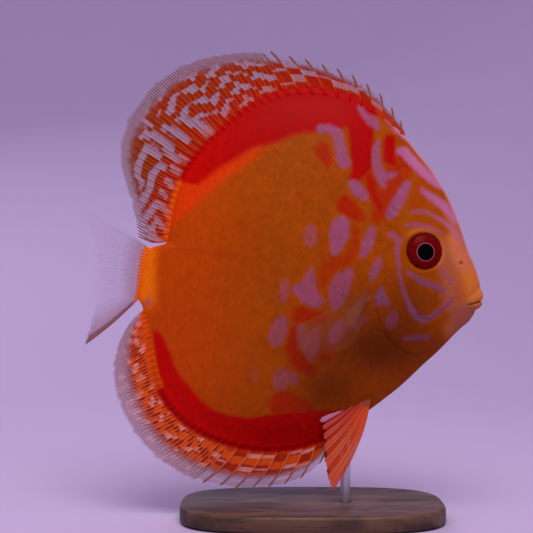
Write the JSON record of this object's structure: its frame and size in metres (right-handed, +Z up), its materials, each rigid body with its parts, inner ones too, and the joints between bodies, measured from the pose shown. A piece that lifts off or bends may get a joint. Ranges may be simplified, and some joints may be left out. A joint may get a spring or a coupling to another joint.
{
  "type": "discus fish",
  "caption": "Life-size discus fish, disc-shaped body with spread fins, held upright on a flat base with one rod.",
  "frame": {"origin": "centre of the bounding box's underside, on the floor under the stand", "axes": "+X towards the fish's snout, +Y towards its left side, +Z up"},
  "size_m": [0.1391, 0.058, 0.163],
  "materials": {
    "skin": "wet scaled skin, orange with pink patches",
    "snout": "smooth skin, pale orange",
    "eye": "glossy, dark red iris with black pupil",
    "fin_red": "thin rayed web, orange red",
    "fin_clear": "thin rayed web, nearly clear",
    "stand_wood": "satin dark wood",
    "stand_steel": "satin"
  },
  "bodies": {
    "root": {"head": "skin", "lower_jaw": "snout", "torso": "skin", "tail_stalk": "skin", "gill_cover_left": "skin", "gill_cover_right": "skin", "eye_left": "eye", "eye_right": "eye", "dorsal_fin_front": "fin_red", "dorsal_fin_rear": "fin_red", "anal_fin_front": "fin_red", "anal_fin_rear": "fin_red", "caudal_fin": "fin_clear", "pectoral_fin_left": "fin_clear", "pectoral_fin_right": "fin_clear", "pelvic_fin_left": "fin_red", "pelvic_fin_right": "fin_red", "stand_base": "stand_wood", "stand_rod": "stand_steel"}
  },
  "joints": []
}
